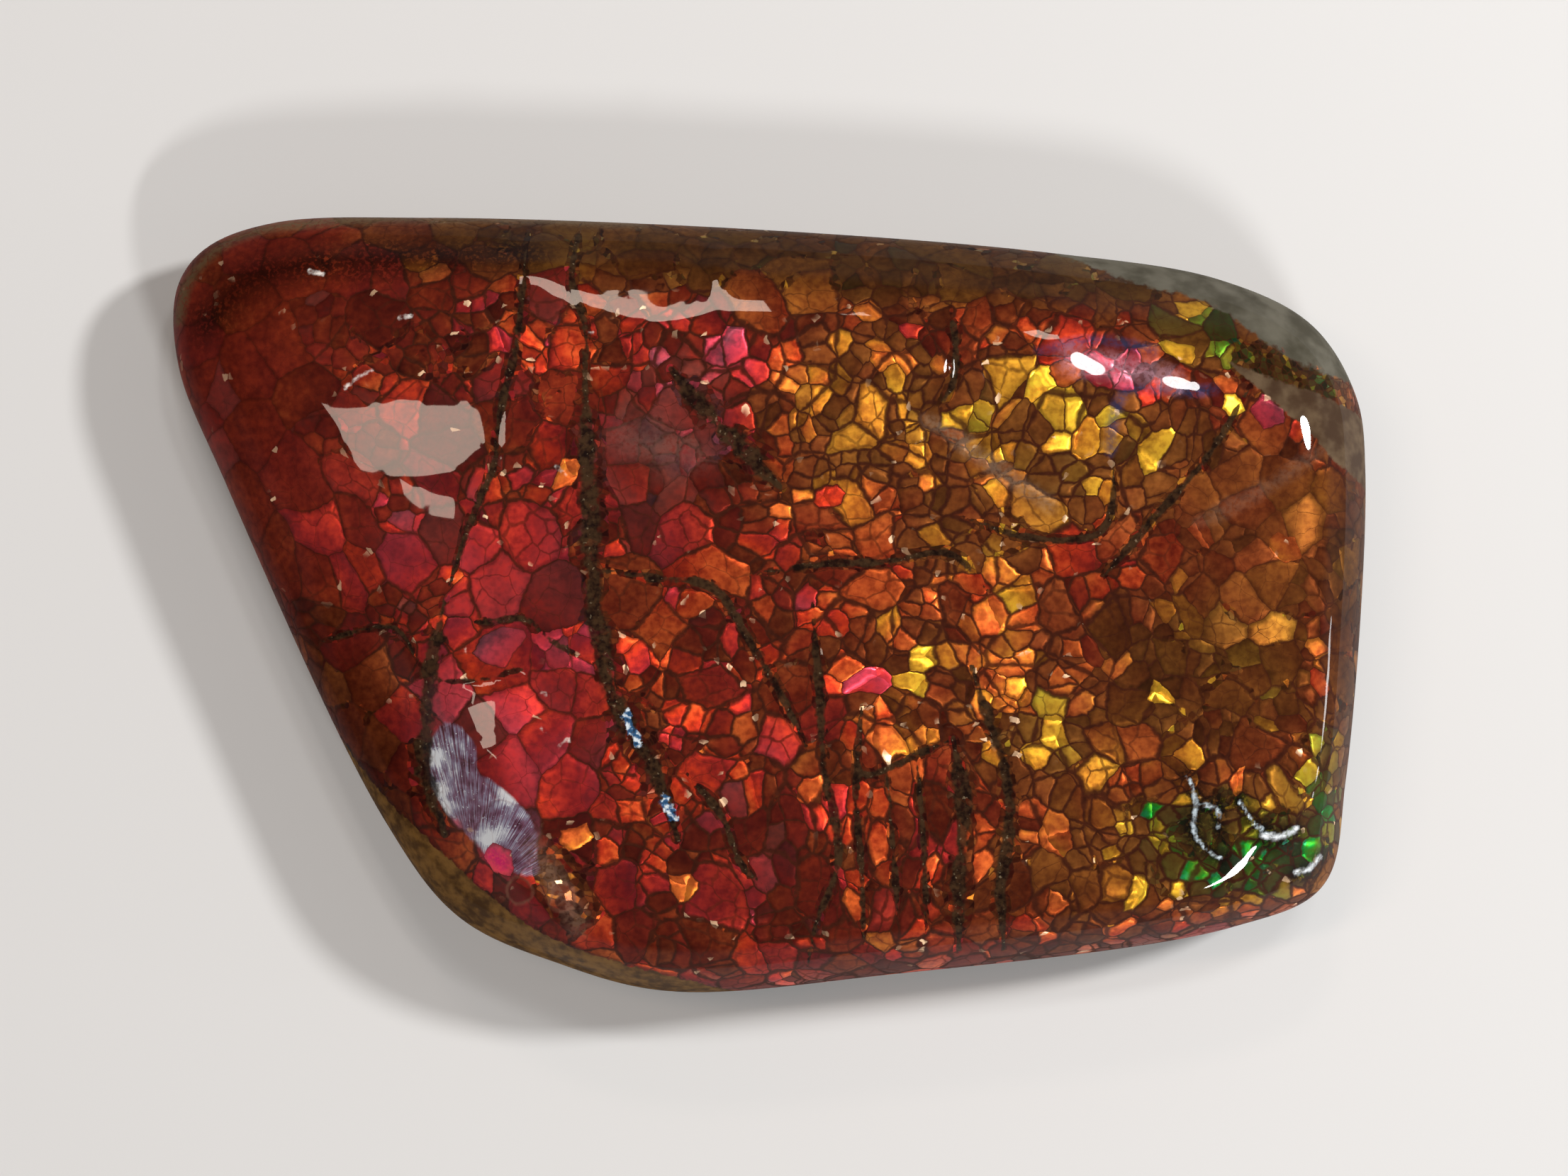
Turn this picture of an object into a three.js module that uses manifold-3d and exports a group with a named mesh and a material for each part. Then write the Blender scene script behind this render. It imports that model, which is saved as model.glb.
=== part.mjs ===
// A polished ammolite freeform: fossil ammonite shell on its own ironstone, which is one natural piece.
// Millimetres. +Z leaves the shell face, +X runs along the long side, and the origin is the middle of the sawn back.
import * as THREE from "three";
import { mergeVertices } from "three/addons/utils/BufferGeometryUtils.js";
import Module from "manifold-3d";

const wasm = await Module();
wasm.setup();

// ---- Driving dimensions ----
const GIRDLE_Z = 9; // height of the widest section above the back
const CROWN = 13.5; // rise of the face above the widest section
const FLANK_TUCK = 5; // how far the flank would curve in by the bottom of the uncut stone
const SAW_STOCK = 1.5; // stone below the back that the saw takes off
const HALF_LENGTH = 70.1;
const HALF_WIDTH = 45.4;
const FACE_STEPS = [54, 36]; // grid steps along and across the face
const FLANK_STEPS = 5; // grid steps from the widest section down to the bottom of the uncut stone

// How square the face stays before it falls away at each side: a higher number is a flatter face and a tighter edge.
const SQUARENESS = { left: 3.4, right: 10, bottom: 8, top: 4 };

// The widest section, clockwise from the middle of the upper left corner. Each side ends where the next one starts.
const SIDES = {
  top: [[-66.4, 41.8], [-58.5, 44.8], [-40, 45.4], [0, 43.9], [34, 41.1], [53, 38]],
  right: [[63.9, 32.6], [69.1, 24], [70.1, 15], [67.4, -20.5]],
  bottom: [[64.6, -33.2], [54, -38], [14, -43.5], [-11.5, -45.4], [-24, -42.3]],
  left: [[-35.9, -36.9], [-44.8, -25.5], [-64, 14.5], [-69.5, 28], [-69.7, 37.2]],
};

// Rounded rises and hollows of the polished face. The long axis is turned anticlockwise from +X by lean degrees.
const SWELLS = [
  { name: "lower left lobe", at: [-30, -21], long: 13, short: 5.5, lean: -64, rise: 1.9 },
  { name: "hollow beside the lobe", at: [-43.5, -12.5], long: 14, short: 4.5, lean: -64, rise: -1.7 },
  { name: "upper left shoulder", at: [-41, 19], long: 11, short: 6, lean: 8, rise: 0.9 },
  { name: "upper dish", at: [-9, 18], long: 13, short: 8, lean: -35, rise: -1.1 },
  { name: "gold fan's crest", at: [38, 26], long: 10, short: 4.5, lean: -14, rise: 1.1 },
  { name: "diagonal trough", at: [25, 15], long: 11, short: 3, lean: -41, rise: -0.7 },
  { name: "middle swell", at: [14, -6], long: 10, short: 7, lean: 20, rise: 0.9 },
  { name: "lower right boss", at: [54, -25], long: 8, short: 5, lean: -12, rise: 1.3 },
  { name: "dish beside the boss", at: [43, -26], long: 5, short: 5, lean: 0, rise: -1.1 },
];

// Veins where the shell split and settled: shallow round-bottomed furrows along the face.
const FURROWS = [
  {
    name: "left vein",
    width: 2.2,
    depth: 0.6,
    along: [[-27.2, 36], [-28.8, 24.5], [-30, 17], [-33.1, 8.5], [-36.2, 1.7], [-38, -8], [-37, -21], [-32, -33]],
  },
  {
    name: "main vein",
    width: 2.8,
    depth: 0.7,
    along: [[-21.6, 39], [-20.2, 28], [-20.2, 12], [-18.7, -2.3], [-16.2, -12], [-12.6, -19.5], [-5.6, -33.5]],
  },
  {
    name: "stepped vein",
    width: 2,
    depth: 0.5,
    along: [[-16.5, 4.8], [-10.6, 3.7], [-4.2, 0.5], [-1.8, -5.5], [1.4, -12.7]],
  },
  {
    name: "column vein",
    width: 1.8,
    depth: 0.5,
    along: [[5.4, -1.5], [6.2, -10.3], [6.9, -19.9], [7.7, -28.7], [6, -37]],
  },
  {
    name: "lower vein",
    width: 3,
    depth: 0.7,
    along: [[22, -6.3], [25.4, -14.3], [25.2, -23.1], [24.2, -31], [23, -38]],
  },
];
const FURROW_STEP = 2.4; // length of one step along a furrow
const BIT_SIDES = 10; // sides of the round bit that cuts it

// ---- The widest section ----
const sideNames = Object.keys(SIDES);
const rimPoints = sideNames.flatMap((name) => SIDES[name]);
const rim = new THREE.CatmullRomCurve3(
  rimPoints.map(([x, y]) => new THREE.Vector3(x, y, 0)),
  true,
  "centripetal",
);

// One side as a curve of its own, so that a share of its length gives a point on it.
function sideCurve(name) {
  const before = sideNames.slice(0, sideNames.indexOf(name)).flatMap((other) => SIDES[other]).length;
  const samples = 80;
  const points = Array.from({ length: samples + 1 }, (_, i) =>
    rim.getPoint(((before + (i / samples) * SIDES[name].length) / rimPoints.length) % 1),
  );
  return new THREE.CatmullRomCurve3(points);
}
const side = Object.fromEntries(sideNames.map((name) => [name, sideCurve(name)]));

// A point of the plan inside the four sides, for u and v from -1 to 1 (a Coons patch).
function plan(u, v) {
  const right = (u + 1) / 2;
  const up = (v + 1) / 2;
  const across = side.bottom.getPointAt(1 - right).multiplyScalar(1 - up)
    .addScaledVector(side.top.getPointAt(right), up);
  const along = side.left.getPointAt(up).multiplyScalar(1 - right)
    .addScaledVector(side.right.getPointAt(1 - up), right);
  const corners = side.left.getPointAt(0).multiplyScalar((1 - right) * (1 - up))
    .addScaledVector(side.bottom.getPointAt(0), right * (1 - up))
    .addScaledVector(side.top.getPointAt(0), (1 - right) * up)
    .addScaledVector(side.right.getPointAt(0), right * up);
  return across.add(along).sub(corners);
}

// ---- The face ----
// 0 at the widest section and 1 over the middle, with a vertical edge and a flat middle.
function crown(u, v) {
  const alongX = 1 - Math.abs(u) ** (u < 0 ? SQUARENESS.left : SQUARENESS.right);
  const alongY = 1 - Math.abs(v) ** (v < 0 ? SQUARENESS.bottom : SQUARENESS.top);
  return Math.sqrt(Math.max(0, alongX * alongY));
}

function swellAt(x, y) {
  return SWELLS.reduce((sum, { at, long, short, lean, rise }) => {
    const turn = THREE.MathUtils.degToRad(lean);
    const dx = x - at[0];
    const dy = y - at[1];
    const a = (dx * Math.cos(turn) + dy * Math.sin(turn)) / long;
    const b = (dy * Math.cos(turn) - dx * Math.sin(turn)) / short;
    return sum + rise * Math.exp(-(a * a + b * b));
  }, 0);
}

// Places a point of the unit box on the slab: its top is the face, and its sides go down to the back.
function place(boxU, boxV, boxW) {
  const u = Math.sin((boxU * Math.PI) / 2); // closer steps near the edge, where the face turns down
  const v = Math.sin((boxV * Math.PI) / 2);
  const { x, y } = plan(u, v);
  if (boxW === 1) {
    const inside = crown(u, v);
    return [x, y, GIRDLE_Z + CROWN * inside + swellAt(x, y) * inside];
  }
  const turn = ((1 - boxW) * Math.PI) / 4;
  const tuck = FLANK_TUCK * (1 - Math.cos(turn));
  const drop = (GIRDLE_Z + SAW_STOCK) * Math.sin(turn);
  return [x * (1 - tuck / HALF_LENGTH), y * (1 - tuck / HALF_WIDTH), GIRDLE_Z - drop];
}

function rawSlab() {
  const box = new THREE.BoxGeometry(2, 2, 2, ...FACE_STEPS, FLANK_STEPS);
  const position = box.attributes.position;
  for (let i = 0; i < position.count; i += 1) {
    const corner = [position.getX(i), position.getY(i), position.getZ(i)];
    position.setXYZ(i, ...place(...corner));
  }
  return box;
}

// ---- Cutting ----
function toSolid(geometry) {
  const bare = geometry.clone();
  bare.deleteAttribute("normal");
  bare.deleteAttribute("uv");
  const merged = mergeVertices(bare, 1e-3);
  return new wasm.Manifold(
    new wasm.Mesh({
      numProp: 3,
      vertProperties: new Float32Array(merged.attributes.position.array),
      triVerts: new Uint32Array(merged.index.array),
    }),
  );
}

function toGeometry(solid) {
  const { vertProperties, triVerts } = solid.getMesh();
  const geometry = new THREE.BufferGeometry();
  geometry.setAttribute("position", new THREE.BufferAttribute(vertProperties, 3));
  geometry.setIndex(new THREE.BufferAttribute(triVerts, 1));
  geometry.computeVertexNormals();
  return geometry;
}

// The sawn back: everything below the origin goes.
function sawBlock() {
  const block = new THREE.BoxGeometry(4 * HALF_LENGTH, 4 * HALF_WIDTH, 4 * GIRDLE_Z);
  return block.translate(0, 0, -2 * GIRDLE_Z);
}

// A round bit swept along the face, which sinks to the furrow's depth in the middle and leaves at both ends.
function furrowBit({ width, depth, along }, faceMesh) {
  const half = width / 2;
  const radius = (half * half + depth * depth) / (2 * depth);
  const flat = new THREE.CatmullRomCurve3(along.map(([x, y]) => new THREE.Vector3(x, y, 0)));
  const steps = Math.round(flat.getLength() / FURROW_STEP);
  const down = new THREE.Vector3(0, 0, -1);
  const route = flat.getSpacedPoints(steps).map((point, i) => {
    const above = new THREE.Vector3(point.x, point.y, 4 * (GIRDLE_Z + CROWN));
    const hit = new THREE.Raycaster(above, down).intersectObject(faceMesh)[0];
    const share = i / steps;
    const sunk = depth * Math.sqrt(4 * share * (1 - share));
    return hit.point.add(new THREE.Vector3(0, 0, radius - sunk));
  });
  const section = new THREE.Shape();
  section.absarc(0, 0, radius, 0, 2 * Math.PI);
  return new THREE.ExtrudeGeometry(section, {
    steps,
    curveSegments: BIT_SIDES,
    bevelEnabled: false,
    extrudePath: new THREE.CatmullRomCurve3(route),
  });
}

function slabGeometry() {
  const raw = rawSlab();
  const faceMesh = new THREE.Mesh(raw, new THREE.MeshStandardMaterial({ side: THREE.DoubleSide }));
  const sawn = toSolid(raw).subtract(toSolid(sawBlock()));
  const veined = FURROWS.reduce((solid, furrow) => solid.subtract(toSolid(furrowBit(furrow, faceMesh))), sawn);
  return toGeometry(veined);
}

// ---- The piece ----
const ammolite = new THREE.MeshStandardMaterial({ color: 0x7d2a17, roughness: 0.12, metalness: 0.25 });
const slab = new THREE.Mesh(slabGeometry(), ammolite);
slab.name = "ammolite_slab";

const specimen = new THREE.Group();
specimen.add(slab);
export default specimen;
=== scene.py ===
"""A polished ammolite freeform, lying on its sawn back on a pale table, in soft studio light."""

import math
from functools import partial, partialmethod, reduce
from typing import NamedTuple

import bmesh
import bpy
import numpy as np
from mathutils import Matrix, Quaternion, Vector, noise
from mathutils.kdtree import KDTree


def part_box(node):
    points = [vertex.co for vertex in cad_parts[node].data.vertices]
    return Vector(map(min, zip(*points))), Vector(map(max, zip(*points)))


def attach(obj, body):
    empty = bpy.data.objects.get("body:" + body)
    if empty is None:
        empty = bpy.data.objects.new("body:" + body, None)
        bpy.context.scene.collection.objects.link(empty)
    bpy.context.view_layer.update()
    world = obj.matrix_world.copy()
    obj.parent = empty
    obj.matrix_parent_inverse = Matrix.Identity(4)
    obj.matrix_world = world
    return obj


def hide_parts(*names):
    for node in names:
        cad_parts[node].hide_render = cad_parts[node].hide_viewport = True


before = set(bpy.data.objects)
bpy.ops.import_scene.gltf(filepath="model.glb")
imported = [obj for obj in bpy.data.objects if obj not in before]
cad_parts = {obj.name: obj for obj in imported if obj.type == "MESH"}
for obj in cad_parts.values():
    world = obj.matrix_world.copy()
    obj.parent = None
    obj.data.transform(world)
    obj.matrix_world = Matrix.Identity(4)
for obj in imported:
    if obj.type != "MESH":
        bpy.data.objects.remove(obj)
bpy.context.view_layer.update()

SEED = 5  # of all that is left to chance
noise.seed_set(SEED)

# ---- The slab's form, in millimetres ----
MM = 0.001
SLAB_NODE = "ammolite_slab"
LOWEST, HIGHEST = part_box(SLAB_NODE)
HALF_LENGTH = (HIGHEST.x - LOWEST.x) / 2 / MM
HALF_WIDTH = (HIGHEST.y - LOWEST.y) / 2 / MM
GIRDLE_Z = 9.0  # height of the widest section above the back
CROWN = 13.5  # rise of the face above the widest section
FLANK_TUCK = 5.0  # how far the flank would curve in by the bottom of the uncut stone
SAW_STOCK = 1.5  # stone below the back that the saw takes off
ARRIS = 0.5  # bevel between flank and back
SQUARENESS = {"left": 3.4, "right": 10, "bottom": 8, "top": 4}
FACE_STEPS = (350, 228)
FLANK_STEPS = 14
EDGE_CROWDING = 7  # a higher power leaves the middle of the face more evenly stepped

# The widest section, clockwise from the middle of the upper left corner.
# Each side ends where the next one starts.
SIDES = {
    "top": [(-66.4, 41.8), (-58.5, 44.8), (-40, 45.4), (0, 43.9), (34, 41.1), (53, 38)],
    "right": [(63.9, 32.6), (69.1, 24), (70.1, 15), (67.4, -20.5)],
    "bottom": [(64.6, -33.2), (54, -38), (14, -43.5), (-11.5, -45.4), (-24, -42.3)],
    "left": [(-35.9, -36.9), (-44.8, -25.5), (-64, 14.5), (-69.5, 28), (-69.7, 37.2)],
}

# Rounded rises and hollows: (name, middle, long, short, lean in degrees, rise).
SWELLS = [
    ("lower left lobe", (-30.7, -20.8), 14.4, 4.8, -69, 1.8),
    ("first dip on the lobe", (-32.3, -8.4), 3.8, 3.7, 0, -0.17),
    ("second dip on the lobe", (-34.1, -11.3), 4.7, 2.4, 5, -0.26),
    ("third dip on the lobe", (-33.6, -13.4), 3.3, 1.8, -4, -0.2),
    ("fourth dip on the lobe", (-33.1, -15.4), 3.9, 1.5, -9, -0.14),
    ("hollow beside the lobe", (-43.5, -12.5), 14, 4.5, -64, -1.7),
    ("upper left shoulder", (-41.3, 7.9), 15.4, 8.2, 2, 0.48),
    ("ripple on the shoulder", (-39.7, 14), 8, 2.8, -11, 0.1),
    ("ripple above the shoulder", (-45.4, 20.2), 6.3, 4.8, 23, 0.1),
    ("upper dish", (-9, 18), 13, 8, -35, -1.1),
    ("gold fan's crest", (41.9, 25.8), 11.9, 7.7, -15, 0.89),
    ("ripple on the crest", (34.3, 29.5), 4.3, 2.7, 24, 0.25),
    ("dip in the crest", (42.3, 25.4), 5.5, 3.3, 0, -0.17),
    ("diagonal trough", (25, 15), 11, 2.7, -42, -0.45),
    ("middle swell", (14, -6), 10, 7, 20, 0.9),
    ("lower right boss", (54, -25), 8, 5, -12, 1.3),
    ("dish beside the boss", (43, -26), 5, 5, 0, -1.1),
    ("dip over the main vein", (-13.2, 35.3), 7, 4.2, -3, -0.51),
    ("ripple right of it", (-6, 38.9), 1.5, 3.1, 0, 0.45),
    ("ripple left of it", (-27.7, 39.2), 4, 3.3, -2, 0.52),
]
UNDERCUT = (0.008, 0.5)  # depth and half width of the groove that polishing leaves over a seam

# Polishing waves of the face: (length of a wave, height).
WAVES = [(14.0, 0.15), (5.0, 0.012)]

# Veins of dark stone where the shell split: (name, width, depth of the furrow, route on the face).
VEINS = [
    ("left vein", 1.0, 0.04, [(-27.8, 43), (-28.5, 30), (-30.5, 20), (-31, 15), (-33.5, 9), (-36.5, 0)]),
    ("lobe's edge", 2.3, 0.25, [(-36.5, 0), (-38.3, -8), (-39, -14), (-39, -20), (-36.8, -27)]),
    ("crack above the main vein", 0.8, 0.05, [(-21.8, 44), (-22.4, 36), (-20.8, 31), (-20.6, 25)]),
    ("main vein", 2.3, 0.12,
     [(-20.8, 28), (-20.2, 10), (-19.3, -3), (-16.8, -13), (-12.5, -20), (-10, -27.5)]),
    ("split below the main vein", 0.9, 0.1, [(-9, -20), (-5, -25), (-3, -30), (0, -33)]),
    ("grey wedge", 2.5, 0.03, [(-11, 26), (-5, 19), (-1, 15), (1.5, 12.5)]),
    ("stepped vein", 1.1, 0.1, [(-18.5, 3), (-12, 2), (-6, 1), (-2, -5), (2, -12), (4.5, -17)]),
    ("level vein", 0.9, 0.08, [(-2.6, 2.4), (5.5, 3.6), (13.5, 4), (20.7, 4.8), (25.5, 0)]),
    ("column vein", 1.1, 0.15, [(5.1, -0.8), (6, -12), (6.3, -18), (8, -30), (5.5, -37), (4.6, -42)]),
    ("hooked vein", 0.9, 0.1, [(10.7, -12), (10.7, -20), (17.5, -17.6), (21.1, -16)]),
    ("second column's crack", 0.8, 0.08, [(10.2, -16), (10, -22), (10.6, -30), (11, -40)]),
    ("third column's crack", 0.8, 0.08, [(13.4, -18), (14, -26), (14.8, -36)]),
    ("fourth column's crack", 0.8, 0.08, [(16.8, -17.5), (17.6, -27), (18, -38)]),
    ("dark cleft", 1.8, 0.1, [(21, -16), (22.2, -24), (21.6, -31), (21.8, -40)]),
    ("lower vein", 1.5, 0.12, [(23.1, -8), (25, -14), (27, -20), (27.2, -27), (26.3, -33), (27, -40)]),
    ("right vein", 1.0, 0.08, [(55, 24), (50, 16), (44, 9), (36, 0)]),
    ("fan's left edge", 1.0, 0.1, [(21, 33), (21.5, 28), (21, 24), (19, 21)]),
    ("fan's foot", 0.8, 0.05, [(22, 9), (31, 6.5), (38, 7.5), (39.5, 16)]),
    ("crack in the left plate", 0.6, 0.05, [(-52.5, -5), (-42.5, -3.5), (-39.5, -8)]),
    ("cross vein", 0.9, 0.08, [(-34, -3), (-27, -2.7), (-24.5, -5), (-20.5, -7)]),
    ("lobe's upper edge", 0.9, 0.1, [(-37.5, -9.5), (-33, -9.5), (-27, -8)]),
]
FURROW_REACH = 0.6  # a furrow's half width, in widths of its vein


def rounded_loop(points, steps=60):
    """The closed centripetal Catmull-Rom curve through points: one (steps, 2) array for each span."""
    ring = np.array(points, float)
    spans = []
    for i in range(len(ring)):
        before, start, end, after = (ring[(i + k) % len(ring)] for k in (-1, 0, 1, 2))
        lead, mid, tail = (
            math.sqrt(np.linalg.norm(b - a)) for a, b in ((before, start), (start, end), (end, after))
        )
        leave = (start - before) / lead - (end - before) / (lead + mid) + (end - start) / mid
        arrive = (end - start) / mid - (after - start) / (mid + tail) + (after - end) / tail
        leave, arrive = leave * mid, arrive * mid
        t = np.linspace(0, 1, steps, endpoint=False)[:, None]
        cubic = 2 * start - 2 * end + leave + arrive
        square = 3 * (end - start) - 2 * leave - arrive
        spans.append(start + t * leave + t**2 * square + t**3 * cubic)
    return spans


def side_curves():
    """Each side of the widest section, with the share of its length at each point."""
    spans = rounded_loop([p for side in SIDES.values() for p in side])
    curves = {}
    first = 0
    for name, side in SIDES.items():
        last = first + len(side)
        points = np.concatenate(spans[first:last] + [spans[last % len(spans)][:1]])
        length = np.concatenate([[0], np.cumsum(np.linalg.norm(np.diff(points, axis=0), axis=1))])
        curves[name] = (length / length[-1], points)
        first = last
    return curves


CURVES = side_curves()


def on_side(name, share):
    shares, points = CURVES[name]
    return np.stack([np.interp(share, shares, points[:, k]) for k in (0, 1)], axis=-1)


def plan(u, v):
    """The point of the outline's inside for u and v from -1 to 1 (a Coons patch)."""
    right, up = (u + 1) / 2, (v + 1) / 2
    r, p = right[:, None], up[:, None]
    across = on_side("bottom", 1 - right) * (1 - p) + on_side("top", right) * p
    along = on_side("left", up) * (1 - r) + on_side("right", 1 - up) * r
    corner = {name: points[0] for name, (_, points) in CURVES.items()}
    corners = (corner["left"] * (1 - r) + corner["bottom"] * r) * (1 - p)
    corners += (corner["top"] * (1 - r) + corner["right"] * r) * p
    return across + along - corners


def crown(u, v):
    """0 at the widest section and 1 over the middle, with a vertical edge and a flat middle."""
    power_u = np.where(u < 0, SQUARENESS["left"], SQUARENESS["right"])
    power_v = np.where(v < 0, SQUARENESS["bottom"], SQUARENESS["top"])
    inside = (1 - np.abs(u) ** power_u) * (1 - np.abs(v) ** power_v)
    return np.sqrt(np.clip(inside, 0, None))


def leaning(xy, middle, long, short, lean):
    """How far points lie from middle, in units of a leaning ellipse's half axes."""
    turn = math.radians(lean)
    off = xy - np.array(middle, float)
    a = (off[:, 0] * math.cos(turn) + off[:, 1] * math.sin(turn)) / long
    b = (off[:, 1] * math.cos(turn) - off[:, 0] * math.sin(turn)) / short
    return np.hypot(a, b)


def open_curve(points, step=0.3):
    """Evenly spaced points on the smooth curve through points."""
    route = np.array(points, float)
    ends = [2 * route[0] - route[1], 2 * route[-1] - route[-2]]
    closed = [tuple(p) for p in (ends[0], *route, ends[1])]
    fine = np.concatenate(rounded_loop(closed)[1 : len(route)] + [route[-1:]])
    length = np.concatenate([[0], np.cumsum(np.linalg.norm(np.diff(fine, axis=0), axis=1))])
    at = np.linspace(0, length[-1], max(2, int(length[-1] / step)))
    return np.stack([np.interp(at, length, fine[:, k]) for k in (0, 1)], axis=-1)


def nearest(xy, route):
    """Each point's distance to route, and the share of the route where it is nearest."""
    curve = open_curve(route)
    best = np.full(len(xy), np.inf)
    share = np.zeros(len(xy))
    for i, (x, y) in enumerate(curve):
        squared = (xy[:, 0] - x) ** 2 + (xy[:, 1] - y) ** 2
        closer = squared < best
        best[closer] = squared[closer]
        share[closer] = i / (len(curve) - 1)
    return np.sqrt(best), share


def waves(xy):
    """The slow waves that hand polishing leaves."""
    total = np.zeros(len(xy))
    for length, height in WAVES:
        total += height * np.array([noise.noise(Vector((x / length, y / length, length))) for x, y in xy])
    return total


def relief(xy):
    """What the swells, waves and furrows add to the plain dome."""
    total = waves(xy)
    for _, middle, long, short, lean, rise in SWELLS:
        total += rise * np.exp(-(leaning(xy, middle, long, short, lean) ** 2))
    for _, width, depth, route in VEINS:
        distance, share = nearest(xy, route)
        fade = np.sqrt(np.clip(4 * share * (1 - share), 0, 1))
        total -= depth * fade * np.exp(-((distance / (FURROW_REACH * width)) ** 2))
    return total


def crowded(s):
    """Moves evenly spaced grid lines towards the edge, where the face turns down."""
    return (EDGE_CROWDING * s - s**EDGE_CROWDING) / (EDGE_CROWDING - 1)


def unrolled(points, columns):
    """The face laid flat, as a plan in millimetres: its distances are those along the surface."""
    grid = points.reshape(-1, columns, 3)
    flat = grid[:, :, :2].copy()
    for axis, coordinate in ((1, 0), (0, 1)):
        step = np.linalg.norm(np.diff(grid, axis=axis), axis=2)
        line = np.diff(grid[:, :, :2], axis=axis)
        longer = np.sign(line[:, :, coordinate]) * (step - np.linalg.norm(line, axis=2))
        start = np.zeros_like(np.take(longer, [0], axis))
        extra = np.concatenate([start, np.cumsum(longer, axis=axis)], axis=axis)
        middle = grid.shape[axis] // 2
        flat[:, :, coordinate] += extra - np.take(extra, [middle], axis)
    return flat.reshape(-1, 2)


# Where most cracks run one way: (name, middle, reach, that way in degrees, how drawn out the pieces are).
GRAINS = [
    ("columns", (13, -26), (13, 15), 90, 1.5),
    ("rays of the fan", (34, 20), (14, 8), 62, 1.35),
    ("left plates", (-50, 8), (16, 12), -50, 1.4),
]
GRAIN_EDGE = 4  # a higher power ends a grain more sharply
BENDS = (6.0, 1.3)  # length and size of the plan's bends, which make the pieces uneven


def drawn_out(flat, xy):
    """Bends the plan and squeezes it along the grain, so that pieces laid on it come out uneven and long."""
    length, reach = BENDS
    bends = [noise.noise_vector(Vector((x / length, y / length, 0)))[:2] for x, y in flat]
    flat = flat + reach * np.array(bends)
    for _, middle, reach, way, stretch in GRAINS:
        along = np.array([math.cos(math.radians(way)), math.sin(math.radians(way))])
        weight = 1 / (1 + leaning(xy, middle, *reach, 0) ** GRAIN_EDGE)
        off = (xy - np.array(middle, float)) @ along
        flat = flat - np.outer(off * weight * (1 - 1 / stretch), along)
    return flat


def into_scene(name, data):
    made = bpy.data.objects.new(name, data)
    bpy.context.scene.collection.objects.link(made)
    return made


def meshed(name, bm):
    """Puts what bm holds into the scene."""
    mesh = bpy.data.meshes.new(name)
    bm.to_mesh(mesh)
    bm.free()
    return into_scene(name, mesh)


def build_slab():
    """The whole piece: its face is a grid bent over the stone, and its flank and back are drawn down."""
    bm = bmesh.new()
    plan_layer = bm.verts.layers.float_vector.new("shell_plan")
    bmesh.ops.create_grid(bm, x_segments=FACE_STEPS[0], y_segments=FACE_STEPS[1], size=1)
    square = np.array([v.co for v in bm.verts])
    u, v = crowded(square[:, 0]), crowded(square[:, 1])
    xy = plan(u, v)
    inside = crown(u, v)
    z = GIRDLE_Z + CROWN * inside + relief(xy) * inside
    face = np.column_stack([xy, z])
    flat = drawn_out(unrolled(face, FACE_STEPS[0] + 1), xy)
    for vert, place, laid in zip(bm.verts, face, flat):
        vert.co = place
        vert[plan_layer] = (*laid, 0)
    rim = [edge for edge in bm.edges if edge.is_boundary]
    saw_turn = math.asin(GIRDLE_Z / (GIRDLE_Z + SAW_STOCK))
    tuck = height = 0.0
    for step in range(1, FLANK_STEPS + 1):
        turn = saw_turn * step / FLANK_STEPS
        rim, tuck, height = drawn_down(
            bm, rim, tuck, height, FLANK_TUCK * (1 - math.cos(turn)), (GIRDLE_Z + SAW_STOCK) * math.sin(turn)
        )
    for edge in rim:
        edge.smooth = False
    rim, tuck, height = drawn_down(bm, rim, tuck, height, tuck + ARRIS, height)
    bmesh.ops.contextual_create(bm, geom=rim)
    bmesh.ops.recalc_face_normals(bm, faces=bm.faces)
    bm.verts.index_update()
    bm.faces.sort(key=lambda side: sum(vert.index**2 for vert in side.verts))
    for piece_face in bm.faces:
        piece_face.smooth = True
    bmesh.ops.scale(bm, vec=(MM, MM, MM), verts=bm.verts)
    return meshed("polished_slab", bm)


def drawn_down(bm, rim, tuck, height, new_tuck, new_height):
    """Extrudes the rim's edges to a narrower, lower ring, and returns that ring."""
    made = bmesh.ops.extrude_edge_only(bm, edges=rim)["geom"]
    ring = [item for item in made if isinstance(item, bmesh.types.BMVert)]
    plan_layer = bm.verts.layers.float_vector["shell_plan"]
    for vert in ring:
        laid = vert[plan_layer]
        vert[plan_layer] = laid * (1 + (new_height - height) / laid.length)
    narrower = [(1 - new_tuck / half) / (1 - tuck / half) for half in (HALF_LENGTH, HALF_WIDTH)]
    bmesh.ops.scale(bm, vec=(*narrower, 1), verts=ring)
    bmesh.ops.translate(bm, vec=(0, 0, height - new_height), verts=ring)
    edges = [item for item in made if isinstance(item, bmesh.types.BMEdge)]
    return edges, new_tuck, new_height


# ---- Where the shell's colours lie ----
HUES = {
    "violet": 0.02, "rose": 0.1, "pink": 0.17, "crimson": 0.2, "wine": 0.24, "red": 0.29, "orange": 0.42,
    "amber": 0.52, "gold": 0.62, "olive": 0.74, "green": 0.87,
}


class Patch(NamedTuple):
    """A soft leaning ellipse on the face, in millimetres and degrees, and how the shell looks in it."""

    name: str
    middle: tuple
    reach: tuple
    lean: float
    hue: str
    lit: float  # share of pieces that shine
    whole: float  # share of large plates that are unbroken
    size: float = 3.4  # a chip's width
    crushed: float = 0.15  # share of the shell that is crumbs
    tone: float = 1.0  # brightness
    seams: float = 1.0  # how dark and deep the seams are


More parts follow.
